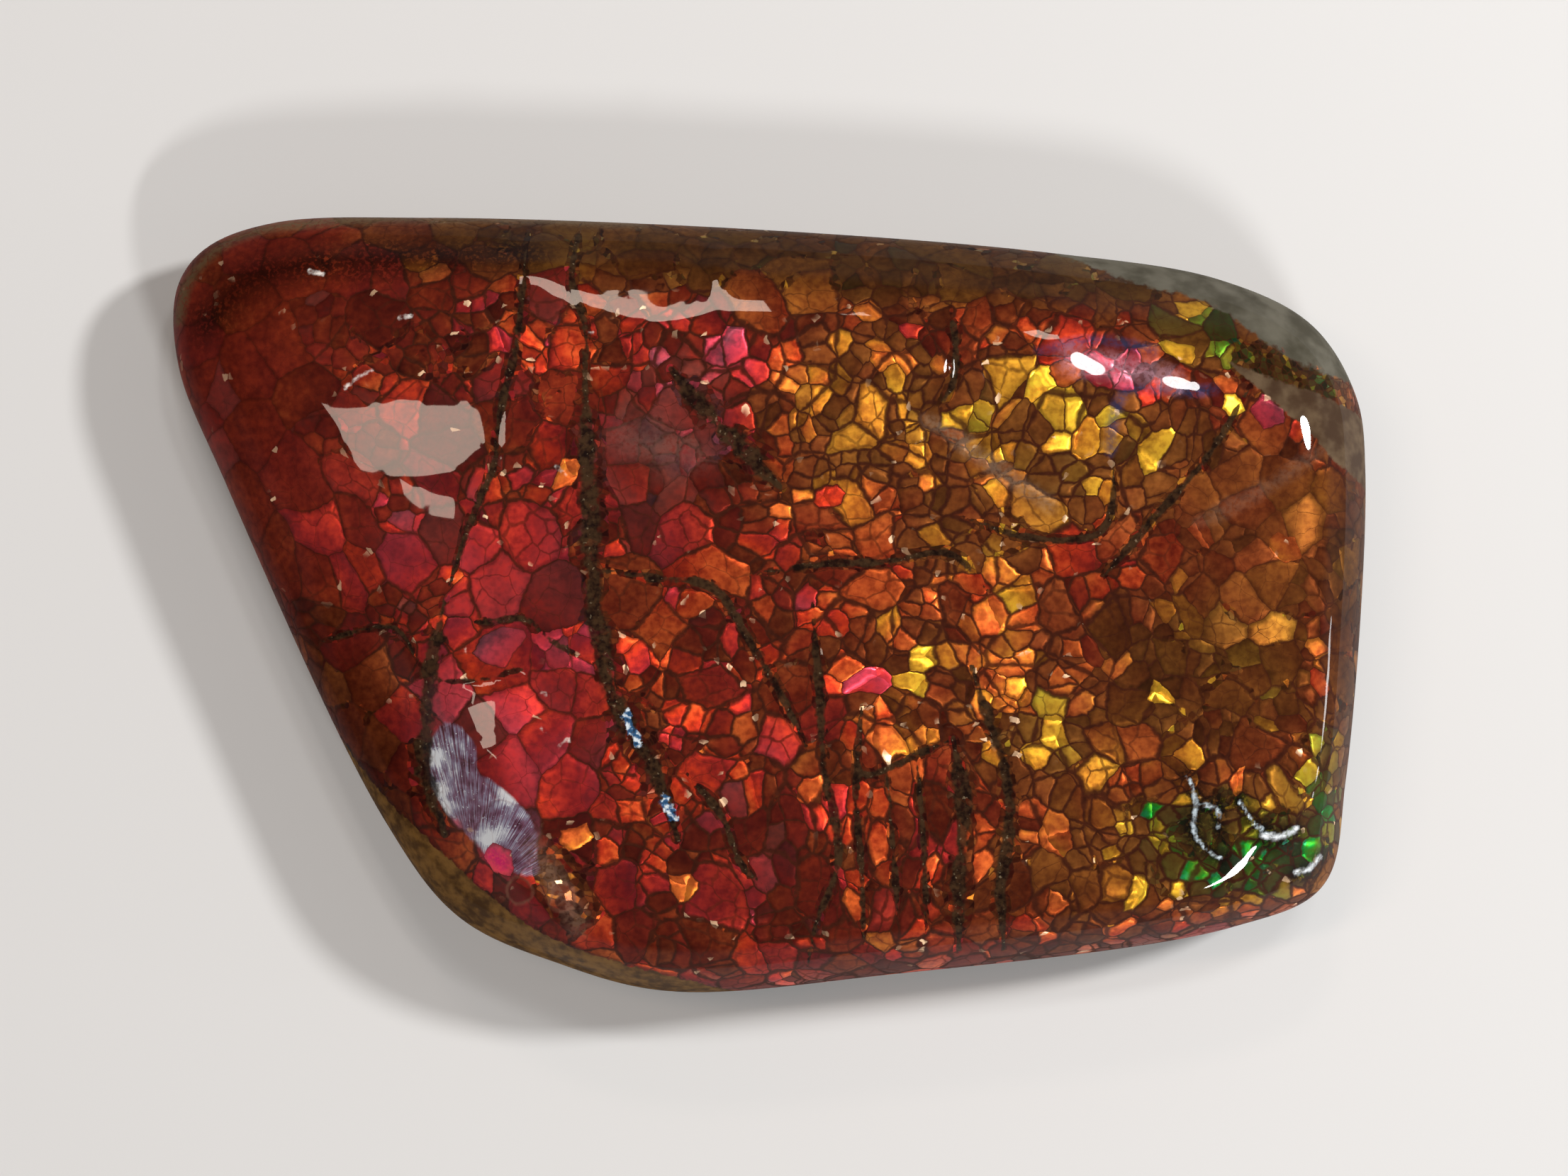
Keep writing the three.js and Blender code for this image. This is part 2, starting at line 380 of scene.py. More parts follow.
# Later patches lie over earlier ones.
PATCHES = [Patch(*row) for row in (
    ("dark left end", (-60, 23), (18, 26), 0, "wine", -0.4, 0.95, 3.4, 0.05, 0.98, 0.16),
    ("rose plates by the left edge", (-43, 7), (13, 7), -20, "crimson", 0.42, 0.8, 2.9, 0.15, 1.34, 0.5),
    ("shoulder", (-40, 19), (10, 5), 0, "crimson", 0.1, 0.6, 2.8, 0.2, 1.0, 0.6),
    ("chips above the shoulder", (-39, 28), (11, 4), 5, "red", 0.05, 0.3, 2.8, 0.4, 1.15),
    # The hollow's low tone is painted shade in the recess beside the lobe.
    ("hollow", (-45.5, -15), (11, 4.6), -64, "red", -0.4, 0.95, 4, 0.25, 0.42, 0.25),
    ("lobe", (-33, -21), (12, 5), -60, "violet", 0.5, 1.0, 5, 0.0, 1.0, 0.4),
    ("red plates", (-25.5, -12), (7, 20), 8, "pink", 0.8, 0.95, 3.2, 0.05, 1.0, 0.45),
    ("between the veins", (-25, 24), (4, 9), 0, "red", 0.58, 0.2, 3, 0.35, 1.15),
    ("dull mauve middle", (-12, 17), (8, 9), 0, "rose", -0.05, 0.7, 3.2, 0.2, 0.88, 0.5),
    ("rose wedge", (-7, 27), (5, 5.5), 0, "rose", 0.45, 0.4, 3, 0.15, 1.25),
    ("red right of the main vein", (-12, -5), (6, 9), 0, "red", 0.45, 0.65, 3.2, 0.2, 0.92, 0.6),
    ("lower middle red", (-10, -20), (9, 10), 0, "red", 0.4, 0.3, 2.4, 0.35, 1.18),
    ("dark red foot", (-2, -30), (9, 8), 0, "crimson", 0.1, 0.8, 3, 0.2, 0.84, 0.7),
    ("olive and gold chips", (11, 20), (10, 11), 0, "amber", 0.24, 0.1, 2.3, 0.2, 1.16),
    ("gold fan", (35, 18.5), (15, 9), -11, "gold", 0.42, 0.1, 2.7, 0.15, 1.05, 0.9),
    ("dull right", (56, 7), (11, 12), 0, "orange", -0.2, 0.85, 2.6, 0.12, 0.73, 0.28),
    ("dull band", (24, 7), (9, 5), 0, "amber", 0.0, 0.3, 3.6, 0.3, 1.02),
    ("red column", (7.9, -18.5), (4, 13), 0, "red", 0.5, 0.2, 3.0, 0.1, 0.94, 0.9),
    ("mixed columns", (17.5, -9), (8, 11), 0, "orange", 0.45, 0.05, 3.0, 0.1, 1.0),
    ("orange right of the lower vein", (29.5, -5.6), (4.5, 9), 0, "orange", 0.5, 0.05, 2.6, 0.2, 1.0),
    ("gold steps", (32, -17), (7, 5), 0, "gold", 0.4, 0.05, 2.9, 0.2, 1.1),
    ("amber below", (37, -31), (13, 9), 0, "orange", 0.18, 0.25, 2.7, 0.2, 0.87),
    ("olive right", (49.5, -8), (13, 9.5), 0, "amber", -0.1, 0.6, 2.4, 0.25, 0.6, 0.45),
    ("green corner", (52.5, -27.5), (13, 6), 0, "olive", 0.25, 0.2, 2.4, 0.35, 0.86),
    ("green by the edge", (55, -30.5), (9, 3.2), 5, "green", 0.35, 0.1, 2.4, 0.3, 0.95),
    ("green at the side", (63.5, -22), (2.6, 8), 0, "green", 0.3, 0.1, 2.4, 0.3, 0.95),
    ("pink flash", (39, 26), (7, 2.6), -16, "rose", 0.75, 0.1, 2.0, 0.1, 1.3, 0.6),
    ("green patch", (50.5, 30.5), (5, 3), -25, "green", 0.65, 0.8, 2.2, 0.1, 0.8, 0.4),
    ("dark rubble", (60, 25.5), (8, 2.6), -20, "olive", 0.03, 0.0, 2.2, 0.9, 0.6),
    # The rim's low tone is painted shade where the face turns down at the right edge.
    ("right rim", (68, -5), (3.5, 26), 0, "amber", -0.1, 0.4, 3, 0.3, 0.46, 0.35),
    ("sandy rubble", (-23, -33), (5.5, 3), -66, "orange", -0.1, 0.0, 2, 0.9, 1.0, 0.6),
    ("lower band", (4, -41.5), (30, 3.6), 5, "red", 0.15, 0.9, 2.6, 0.08, 1.0, 0.8),
    # The band's low tone is painted shade where the face turns down at the top edge.
    ("upper band", (7, 39.6), (50, 4.8), -4, "gold", -0.3, 0.6, 3, 0.3, 0.4, 0.3),
)]
PATCH_EDGE = 6  # a higher power gives the patches sharper edges
# Where no patch lies.
ELSEWHERE = {
    "hue": HUES["red"], "lit": 0.2, "whole": 0.2, "size": 3.0, "crushed": 0.2, "tone": 1.0, "seams": 1.0,
}


class Jewel(NamedTuple):
    """A single piece that catches the eye, in millimetres. Its glow is over 1 where it flashes."""

    name: str
    middle: tuple
    width: float
    hue: str
    glow: float


JEWELS = [Jewel(*row) for row in (
    ("crimson by the left vein", (-30.5, 29.5), 3.0, "crimson", 1.1),
    ("orange between the veins", (-23, 14), 2.4, "orange", 1.0),
    ("crimson plate between the veins", (-27, 8), 7.0, "crimson", 0.5),
    ("salmon plate", (-31, 0.8), 7.5, "pink", 0.4),
    ("mauve plate", (-30.5, -6), 6.5, "rose", 0.55),
    ("upper rose plate", (-24.5, -15.5), 6.6, "crimson", 0.95),
    ("lower rose plate", (-21, -21.5), 7.0, "crimson", 0.8),
    ("magenta spot on the lobe", (-30.2, -29.8), 3.2, "rose", 1.5),
    ("orange corner", (-22, -27.5), 2.6, "orange", 1.0),
    ("orange at the foot", (-9, -32.5), 3.0, "orange", 0.95),
    ("magenta in the wedge", (-3.5, 28.7), 3.5, "rose", 1.1),
    ("flash in the middle", (7, 11.3), 2.6, "red", 1.15),
    ("flash in the dark foot", (-1.2, -22.3), 1.8, "red", 1.2),
    ("great jewel", (11.8, -9.6), 6.4, "pink", 2.3),
    ("yellow column", (17.5, -7), 3.4, "gold", 1.05),
    ("pale yellow column", (16.5, -10), 2.0, "gold", 1.35),
    ("orange under the jewel", (13, -16), 3.6, "orange", 1.05),
    ("coral plate", (25, -2.5), 4.4, "orange", 1.1),
    ("red plate", (34.5, 4.5), 7.0, "red", 0.65),
    ("white gold", (31.3, 24.7), 2.8, "gold", 1.4),
    ("amber plate of the fan", (36.3, 17.5), 4.2, "amber", 0.85),
    ("gold plate of the fan", (44, 17), 4.8, "gold", 0.95),
    ("upper gold plate", (47, 28), 4.4, "gold", 0.8),
    ("yellow at the fan's end", (52.7, 22), 1.9, "gold", 1.35),
    ("pink flash", (37.5, 26.5), 4.4, "rose", 0.9),
    ("pink by the rubble", (57, 21), 2.8, "rose", 0.75),
    ("brown at the right", (59, 5.5), 4.6, "orange", 0.6),
    ("gold step", (32.3, -16), 4.0, "gold", 0.8),
    ("gold diamond", (47.5, -17.8), 2.6, "amber", 0.9),
    ("bright gold in the olive", (44.3, -11.2), 2.0, "gold", 1.2),
    ("brown plate at the foot", (32.5, -27), 5.5, "orange", 0.45),
    ("yellow at the foot", (42, -33.3), 2.2, "gold", 1.25),
    ("orange in the green", (53, -21.5), 2.2, "orange", 1.15),
    ("bright green", (43.2, -24.4), 1.8, "green", 1.2),
    ("green and yellow", (61.5, -28.5), 2.8, "green", 1.2),
)]

OCHRE_EDGE = [(-49, -17), (-43.7, -23.2), (-38.7, -27.8), (-33.6, -32.3), (-28.3, -36.6), (-21.8, -39.9),
              (-13.7, -42.4), (-6, -44.5)]
GREY_STONE_EDGE = [(33, 41), (42, 36.5), (50, 34.2), (56, 30.2), (60.5, 27.2), (72, 24)]
BROWN_STONE_EDGE = [(52, 27), (56, 23.5), (59, 21), (62, 18.5), (65, 15.5), (72, 11)]
RUBBLE_EDGE = [(50, 28.5), (54, 26.5), (60, 24.5), (66, 22.5), (72, 20)]
# Lines in the lower right corner: dark gaps lie along both lists, with painted silvery reflections drawn over
# them.
CORNER_CRACKS_AND_GLINTS = [
    [(47.2, -20.2), (47.9, -21.4), (48.3, -23.5), (48.1, -26.5), (49.9, -28.9), (51.2, -29.6)],
    [(48.3, -23.4), (50.6, -23.9), (50.8, -26)],
    [(53.2, -23.2), (54.7, -25.4), (56.3, -26.8)],
]
CORNER_STROKES = [[(55.9, -27), (57.8, -27.1), (59.9, -26.2)], [(60, -31.2), (61.6, -30.9), (63, -29.5)]]
# Thin films and lines over the shell, among them painted reflections, glints and shade: (name, colour,
# strength, half width, its routes).
HAZES = [
    ("blue_film", (40, 56, 92), 0.6, 1.1,
     [[(51, 23.5), (45, 23.5), (41, 23.5), (39.5, 21), (39, 16.5)], [(31, 28), (38, 29.2), (44, 28)]]),
    # A painted reflection of a lamp in the diagonal trough.
    ("grey_streak", (150, 126, 104), 0.4, 1.6, [[(18.5, 20), (25, 15.5), (32, 10.5)]]),
    # A painted reflection streak by the right edge.
    ("right_streak", (140, 112, 92), 0.2, 1.5, [[(49, 8.5), (56, 12), (63.5, 17)]]),
    # A painted bloom of reflected light around the glints on the fan's crest.
    ("lilac_haze", (206, 160, 176), 0.45, 2.6, [[(34.5, 27), (40, 26), (45.5, 24.8)]]),
    ("mauve_haze", (140, 108, 98), 0.22, 4.5, [[(-15.5, 18), (-9.5, 16.5)]]),
    ("sandy_haze", (146, 114, 96), 0.35, 2.4, [[(-26.5, -28), (-24, -32), (-21.5, -37)]]),
    # Painted shade along the top left, where the face turns down under the rim.
    ("dark_rim", (24, 6, 3), 0.9, 4.5, [[(-65, 32), (-61, 36.5), (-53, 38.8), (-40, 39.6), (-27, 40)]]),
    # The olive stone of the rim, with a painted sheen along it.
    ("olive_rim", (96, 76, 50), 0.9, 1.3,
     [[(-69.2, 33), (-67.4, 38.2), (-62, 42.7), (-52, 44.4), (-40, 44.9), (-15, 44.1)]]),
    ("dark_line", (26, 11, 6), 0.8, 0.7, [OCHRE_EDGE]),
    ("corner_gaps", (10, 8, 6), 1.0, 2.4, CORNER_CRACKS_AND_GLINTS + CORNER_STROKES),
    # Painted silvery reflections along the corner's cracks and strokes.
    ("silver_cracks", (214, 230, 240), 1.0, 0.36, CORNER_CRACKS_AND_GLINTS),
    ("silver_strokes", (238, 244, 248), 1.0, 0.56, CORNER_STROKES),
    ("magenta_spot", (226, 22, 112), 0.9, 1.3, [[(-31.2, -29.2), (-30, -30.2)]]),
    # Painted white glints of the lamps.
    ("white_glints", (240, 234, 228), 0.9, 0.36,
     [[(-53, 38), (-51.3, 37.5)], [(-42, 32), (-40.8, 32.4)], [(-48.3, 24), (-46.8, 25.2), (-45.3, 26)],
      [(-24, 14.8), (-23, 14)], [(-21, 30.6), (-20, 30.3)], [(-25.5, -15), (-25, -15.5)],
      [(-23.6, -17), (-22.5, -16.2)], [(-25.6, -10.9), (-25, -11)]]),
]
# Painted glints on the main vein, where it would catch the lamps.
VEIN_GLINTS = [[(-16, -13.3), (-15.2, -15), (-14.3, -16.6)], [(-11.6, -22.8), (-11, -24), (-10.6, -25)]]
LOBE_FILM = [((-35.6, -19.6), (5.6, 3.2), -84), ((-30.6, -25.6), (7.4, 3.5), -52)]  # middle, reach and lean
# Painted star glints on the film: its brightest spots, where it would catch the lamps.
FILM_STAR_GLINTS = [(-37.9, -18), (-37.5, -22), (-37, -24), (-31.5, -27.4), (-28.9, -22.4)]  # its bright spots
FILM_FAN = (-33.1, -34.0, 0.0)  # its fine lines run away from here
RINGS = [(-28.1, -33.3, 0.0), (-23.2, -33.9, 0.0)]
RING_RADIUS = 1.5


def side_of(xy, route):
    """Signed distance to route: positive on the left of its direction."""
    curve = open_curve(route)
    best = np.full(len(xy), np.inf)
    signed = np.zeros(len(xy))
    for start, end in zip(curve[:-1], curve[1:]):
        off = xy - start
        squared = (off**2).sum(axis=1)
        closer = squared < best
        best[closer] = squared[closer]
        ahead = end - start
        turn = ahead[0] * off[closer, 1] - ahead[1] * off[closer, 0]
        signed[closer] = np.sign(turn) * np.sqrt(squared[closer])
    return signed


def looks_at(xy):
    """The patches' values at points of the face."""
    looks = {name: np.full(len(xy), value) for name, value in ELSEWHERE.items()}
    for patch in PATCHES:
        weight = 1 / (1 + leaning(xy, patch.middle, *patch.reach, patch.lean) ** PATCH_EDGE)
        for name, layer in looks.items():
            value = HUES[patch.hue] if name == "hue" else getattr(patch, name)
            layer += (value - layer) * weight
    return looks


PLATE_IN_CHIPS = 2.5  # a plate's width, in chips
LARGE_CHIP = 6.5  # a wider jewel is a plate
WIDTH_SPREAD = 0.42  # how unlike in size neighbouring pieces are
PACKING = 0.7  # closest middles, as a share of the mean width
JEWEL_ROOM = 1.45  # keeps the neighbours from cutting into a jewel
CANDIDATES = 24000
HUE_SPREAD = 0.05
GLOW_CONTRAST = 1.8  # a higher one leaves fewer pieces half lit
TONE_SPREAD, TONE_RANGE = 0.2, (0.6, 1.5)
PLATE_KEY = 0.37  # keeps a plate's random numbers apart from its chips'
NEAREST = 4  # pieces of a level that a face of the mesh can touch
FAR = 9.0  # stands for beyond every vein and border


def spread(places, widths, placed, placed_widths, order):
    """Indices of the places in order that keep clear of the placed ones and of each other."""
    kept = np.concatenate([placed, np.zeros((len(order), 2))])
    kept_widths = np.concatenate([placed_widths, np.zeros(len(order))])
    count = len(placed)
    picked = []
    for i in order:
        clear = PACKING * (widths[i] + kept_widths[:count]) / 2
        if np.all(((kept[:count] - places[i]) ** 2).sum(axis=1) > clear**2):
            kept[count] = places[i]
            kept_widths[count] = widths[i]
            count += 1
            picked.append(i)
    return picked


def random_looks(looks, where, rng):
    """Hue, glow and tone for pieces at some of the places that looks covers."""
    hue = looks["hue"][where] + HUE_SPREAD * rng.standard_normal(len(where))
    glow = np.clip(0.5 + GLOW_CONTRAST * (looks["lit"][where] - rng.random(len(where))), 0, 1)
    tone = np.clip(1 + TONE_SPREAD * rng.standard_normal(len(where)), *TONE_RANGE)
    return np.column_stack([hue, glow, tone])


def lay_pieces(xy, flat, looks, widths, jewels, marks, rng):
    """One level of the mosaic: the jewels where they belong, and the rest by chance, as the patches say.

    Gives the pieces' middles, with the jewels' or the others' mark as a third number, and their looks.
    """
    seats = [((xy - jewel.middle) ** 2).sum(axis=1).argmin() for jewel in jewels]
    own_look = np.array([(HUES[jewel.hue], min(jewel.glow, 1), max(jewel.glow, 1)) for jewel in jewels])
    uneven = widths * np.exp(WIDTH_SPREAD * rng.standard_normal(len(xy)))
    own_widths = np.array([jewel.width for jewel in jewels]) * JEWEL_ROOM
    picked = spread(flat, uneven, flat[seats], own_widths, rng.permutation(len(xy))[:CANDIDATES])
    mark = np.concatenate([np.ones(len(seats)), marks[picked]])
    middle = np.column_stack([np.concatenate([flat[seats], flat[picked]]), mark])
    return middle, np.concatenate([own_look, random_looks(looks, picked, rng)])


def lay_mosaic(xy, flat):
    """Large plates, marked 1 where they are whole, and the chips that the others are broken into."""
    rng = np.random.default_rng(SEED)
    looks = looks_at(xy)
    whole = (rng.random(len(xy)) < looks["whole"]).astype(float)
    large = [jewel for jewel in JEWELS if jewel.width > LARGE_CHIP]
    small = [jewel for jewel in JEWELS if jewel.width <= LARGE_CHIP]
    return {
        "plate": lay_pieces(xy, flat, looks, looks["size"] * PLATE_IN_CHIPS, large, whole, rng),
        "chip": lay_pieces(xy, flat, looks, looks["size"], small, np.zeros(len(xy)), rng),
    }


def undercut(tree, flat):
    """How deep the polish dips at each point of the plan, over the borders of the tree's pieces."""
    depth, reach = UNDERCUT
    dips = []
    for x, y in flat:
        (first, _, near), (second, _, far) = tree.find_n((x, y, 0), 2)
        border = (far**2 - near**2) / (2 * (second - first).length)
        dips.append(depth * math.exp(-((border / reach) ** 2)))
    return np.array(dips)


def store_nearest(mesh, name, tree, middles, looks, centres):
    """Gives each face of the mesh the few pieces that lie nearest to it."""
    close = np.array([[i for _, i, _ in tree.find_n((x, y, 0), NEAREST)] for x, y in centres])
    for k in range(NEAREST):
        for kind, values in (("middle", middles), ("look", looks)):
            layer = mesh.attributes.new(f"{name}_{kind}_{k}", "FLOAT_VECTOR", "FACE")
            layer.data.foreach_set("vector", values[close[:, k]].astype(np.float32).ravel())


VEIN_TAPER, VEIN_TIP = 6, 0.35  # how fast a vein widens from its ends, and its width there, as a share


def face_fields(xy, looks):
    """What the finish needs to know of the place, by name."""
    fields = {name: looks[name] for name in ("crushed", "tone", "seams")}
    vein = np.full(len(xy), -FAR)
    for _, width, _, route in VEINS:
        distance, share = nearest(xy, route)
        taper = np.clip(VEIN_TAPER * np.minimum(share, 1 - share), VEIN_TIP, 1)
        vein = np.maximum(vein, 1 - distance / (width / 2 * taper))
    fields["vein"] = vein
    fields["ochre"] = -side_of(xy, OCHRE_EDGE)
    fields["grey_stone"] = side_of(xy, GREY_STONE_EDGE)
    fields["brown_stone"] = np.minimum(side_of(xy, BROWN_STONE_EDGE), -side_of(xy, RUBBLE_EDGE))
    for name, *_, routes in [*HAZES, ("vein_glint", VEIN_GLINTS)]:
        fields[name] = -np.min([nearest(xy, route)[0] for route in routes], axis=0)
    # The film's painted star glints.
    fields["silver"] = np.max([np.exp(-np.hypot(*(xy - spot).T)) for spot in FILM_STAR_GLINTS], axis=0)
    off_film = [leaning(xy, middle, *reach, lean) for middle, reach, lean in LOBE_FILM]
    fields["lobe_film"] = 1 - np.min(off_film, axis=0)
    return fields


def paint_fields(slab):
    """Stores the fields and the mosaic on the mesh, and dips it over the seams."""
    mesh = slab.data
    places = np.zeros(3 * len(mesh.vertices))
    mesh.vertices.foreach_get("co", places)
    xy = places.reshape(-1, 3)[:, :2] / MM
    laid = np.zeros(3 * len(mesh.vertices))
    mesh.attributes["shell_plan"].data.foreach_get("vector", laid)
    flat = laid.reshape(-1, 3)[:, :2]

    looks = looks_at(xy)
    for name, values in face_fields(xy, looks).items():
        layer = mesh.attributes.new(name, "FLOAT", "POINT")
        layer.data.foreach_set("value", values.astype(np.float32))

    centres = [flat[list(polygon.vertices)].mean(axis=0) for polygon in mesh.polygons]
    for name, (middles, piece_looks) in lay_mosaic(xy, flat).items():
        tree = KDTree(len(middles))
        for i, (x, y, _) in enumerate(middles):
            tree.insert((x, y, 0), i)
        tree.balance()
        store_nearest(mesh, name, tree, middles, piece_looks, centres)
        if name == "plate":
            height = places.reshape(-1, 3)[:, 2] / MM
            inside = np.clip((height - GIRDLE_Z) / CROWN, 0, 1)
            places.reshape(-1, 3)[:, 2] -= undercut(tree, flat) * looks["seams"] * inside * MM
    mesh.vertices.foreach_set("co", places)
    mesh.update()


# ---- Shader wiring ----
def put(tree, kind, inputs=None, **settings):
    """Adds a shader node, sets its properties, and feeds its inputs from wires or plain values."""
    node = tree.nodes.new("ShaderNode" + kind)
    for name, value in settings.items():
        setattr(node, name, value)
    for key, value in (inputs or {}).items():
        if isinstance(value, Wire):
            tree.links.new(value.socket, node.inputs[key])
        else:
            node.inputs[key].default_value = value
    return node


def wired(tree, kind, output, inputs=None, **settings):
    """One output of a new node."""
    return Wire(put(tree, kind, inputs, **settings).outputs[output])


def worked(first, operation, second=None, output=0):
    """One arithmetic node, of vectors where either value is one."""
    values = [first] if second is None else [first, second]
    wires = [value for value in values if isinstance(value, Wire)]
    kind = "Math"
    if any(wire.socket.type in ("VECTOR", "RGBA") for wire in wires):
        kind = "VectorMath"
        values = [(value,) * 3 if isinstance(value, (int, float)) else value for value in values]
    return wired(wires[0].tree, kind, output, dict(enumerate(values)), operation=operation)


class Wire:
    """A node's output, on which plain arithmetic adds the nodes that work it out."""

    def __init__(self, socket):
        self.socket = socket
        self.tree = socket.id_data

    def __rsub__(self, other):
        return worked(other, "SUBTRACT", self)

    __add__ = __radd__ = partialmethod(worked, "ADD")
    __mul__ = __rmul__ = partialmethod(worked, "MULTIPLY")
    __sub__ = partialmethod(worked, "SUBTRACT")
    __truediv__ = partialmethod(worked, "DIVIDE")
    __lt__ = partialmethod(worked, "LESS_THAN")


def larger(*wires):
    return reduce(lambda first, second: worked(first, "MAXIMUM", second), wires)


def length(vector):
    return worked(vector, "LENGTH", output="Value")


def ease(wire, low, high, start=0.0, end=1.0):
    """start below low and end above high, with a smooth step between them."""
    inputs = {"Value": wire, "From Min": low, "From Max": high, "To Min": start, "To Max": end}
    return wired(wire.tree, "MapRange", "Result", inputs, interpolation_type="SMOOTHSTEP")


MIX_SOCKETS = {"FLOAT": (2, 3, 0), "VECTOR": (4, 5, 1), "RGBA": (6, 7, 2)}  # of both values and of the result


def mixed(kind, share, first, second):
    """Two numbers, vectors or colours mixed by share."""
    low, high, output = MIX_SOCKETS[kind]
    return wired(share.tree, "Mix", output, {0: share, low: first, high: second}, data_type=kind)


between, vector_between, blend = (partial(mixed, kind) for kind in MIX_SOCKETS)


def field(tree, name, output="Fac"):
    return wired(tree, "Attribute", output, attribute_name=name)


def clouds(place, size, detail=3.0, output="Fac"):
    """Soft noise from 0 to 1 with features about size millimetres long."""
    return wired(place.tree, "TexNoise", output, {"Vector": place, "Scale": 1 / size, "Detail": detail})


def parts(wire):
    """A vector's or a colour's three numbers."""
    return [Wire(output) for output in put(wire.tree, "SeparateXYZ", {0: wire}).outputs]


def srgb(red, green, blue):
    """A colour as the eye names it, from 0 to 255, as the linear one that nodes take."""
    channels = [c / 255 for c in (red, green, blue)]
    linear = [c / 12.92 if c <= 0.04045 else ((c + 0.055) / 1.055) ** 2.4 for c in channels]
    return (*linear, 1.0)


def spectrum(position, colours):
    """The colour at position along the stops."""
    node = put(position.tree, "ValToRGB", {0: position})
    stops = node.color_ramp.elements
    while len(stops) < len(colours):
        stops.new(0.5)
    for stop, (at, colour) in zip(stops, colours):
        stop.position = at
        stop.color = srgb(*colour)
    return Wire(node.outputs["Color"])


FLOAT, VECTOR, COLOUR = "NodeSocketFloat", "NodeSocketVector", "NodeSocketColor"


def new_group(name, inputs, outputs):
    """An empty shader group: its tree, the wires that it is given, and the sockets that it gives out."""
    tree = bpy.data.node_groups.new(name, "ShaderNodeTree")
    for sockets, way in ((inputs, "INPUT"), (outputs, "OUTPUT")):
        for socket, kind in sockets.items():
            tree.interface.new_socket(socket, in_out=way, socket_type=kind)
    given = tree.nodes.new("NodeGroupInput").outputs
    return tree, {name: Wire(given[name]) for name in inputs}, tree.nodes.new("NodeGroupOutput").inputs


def deliver(ends, values):
    for name, wire in values.items():
        wire.tree.links.new(wire.socket, ends[name])


def use(tree, group, inputs):
    """A group's outputs by name, fed with inputs."""
    return {output.name: Wire(output) for output in put(tree, "Group", inputs, node_tree=group).outputs}


SAME_PIECE = 0.01  # closer middles are one piece's
IN_PLANE = (1, 1, 0)  # leaves out the height


def piece_group():
    """Which of a few pieces a point of the plan lies in: the nearest, and the way to its nearest border."""
    tree, given, ends = new_group(
        "nearest_piece",
        {"Plan": VECTOR, **{f"{kind} {k}": VECTOR for k in range(NEAREST) for kind in ("Middle", "Look")}},
        {"Middle": VECTOR, "Look": VECTOR, "Border": FLOAT, "Outwards": VECTOR},
    )
    middles = [given[f"Middle {k}"] for k in range(NEAREST)]
    away = [length((given["Plan"] - middle) * IN_PLANE) for middle in middles]
    best, own, look = away[0], middles[0], given["Look 0"]
    for k in range(1, NEAREST):
        closer = away[k] < best
        best = between(closer, best, away[k])
        own = vector_between(closer, own, middles[k])
        look = vector_between(closer, look, given[f"Look {k}"])
    border = outwards = None
    for middle, distance in zip(middles, away):
        across = (middle - own) * IN_PLANE
        apart = length(across)
        itself = apart < SAME_PIECE
        to_border = (distance * distance - best * best) / (apart * 2.0 + itself) + itself * FAR
        if border is None:
            border, outwards = to_border, across
        else:
            closer = to_border < border
            border = between(closer, border, to_border)
            outwards = vector_between(closer, outwards, across)
    outwards = worked(outwards, "NORMALIZE")
    deliver(ends, {"Middle": own, "Look": look, "Border": border, "Outwards": outwards})
    return tree


CRUMB_GAP_FADE = (0.3, 0.8, 1.0, 0.0)


def crumbs_group():
    """Shell crushed to crumbs. Size and Gap are in millimetres."""
    tree, given, ends = new_group(
        "shell_crumbs", {"Plan": VECTOR, "Size": FLOAT, "Gap": FLOAT}, {"Random": COLOUR, "Gap": FLOAT}
    )
    shared = {"Vector": given["Plan"] / given["Size"], "Scale": 1.0, "Randomness": 1.0}
    random, edge = (
        wired(tree, "TexVoronoi", output, shared, voronoi_dimensions="2D", feature=feature)
        for output, feature in (("Color", "F1"), ("Distance", "DISTANCE_TO_EDGE"))
    )
    gap = ease(edge * given["Size"] / given["Gap"], *CRUMB_GAP_FADE)
    deliver(ends, {"Random": random, "Gap": gap})
    return tree


STONE_CONTRAST = (0.36, 0.64)


def stone_group():
    """Fine-grained stone between two colours. Grain is in millimetres."""
    tree, given, ends = new_group(
        "stone_grain", {"Place": VECTOR, "Dark": COLOUR, "Light": COLOUR, "Grain": FLOAT}, {"Colour": COLOUR}
    )
    scaled = given["Place"] / given["Grain"]
    share = ease(clouds(scaled, 4.0, 4.0) * 0.5 + clouds(scaled, 1.0) * 0.5, *STONE_CONTRAST)
    deliver(ends, {"Colour": blend(share, given["Dark"], given["Light"])})
    return tree


# ---- The finish ----
# The shell's colours: (place on the scale of hues, a lit piece's colour, a dull one's). The lit colour is a
# painted flash, the nacre as it looks turned to the light; the dull one is the same nacre unlit.
SHELL_COLOURS = [
    (0.0, (156, 84, 100), (92, 52, 56)),
    (0.1, (208, 64, 84), (100, 44, 36)),
    (0.2, (188, 46, 50), (96, 26, 18)),
    (0.3, (208, 58, 30), (92, 30, 14)),
    (0.42, (224, 108, 46), (104, 50, 22)),
    (0.52, (216, 138, 40), (106, 58, 23)),
    (0.62, (230, 172, 48), (110, 65, 26)),
    (0.74, (156, 148, 36), (84, 60, 26)),
    (0.87, (30, 140, 36), (42, 52, 20)),
    (1.0, (40, 100, 130), (44, 50, 44)),
]
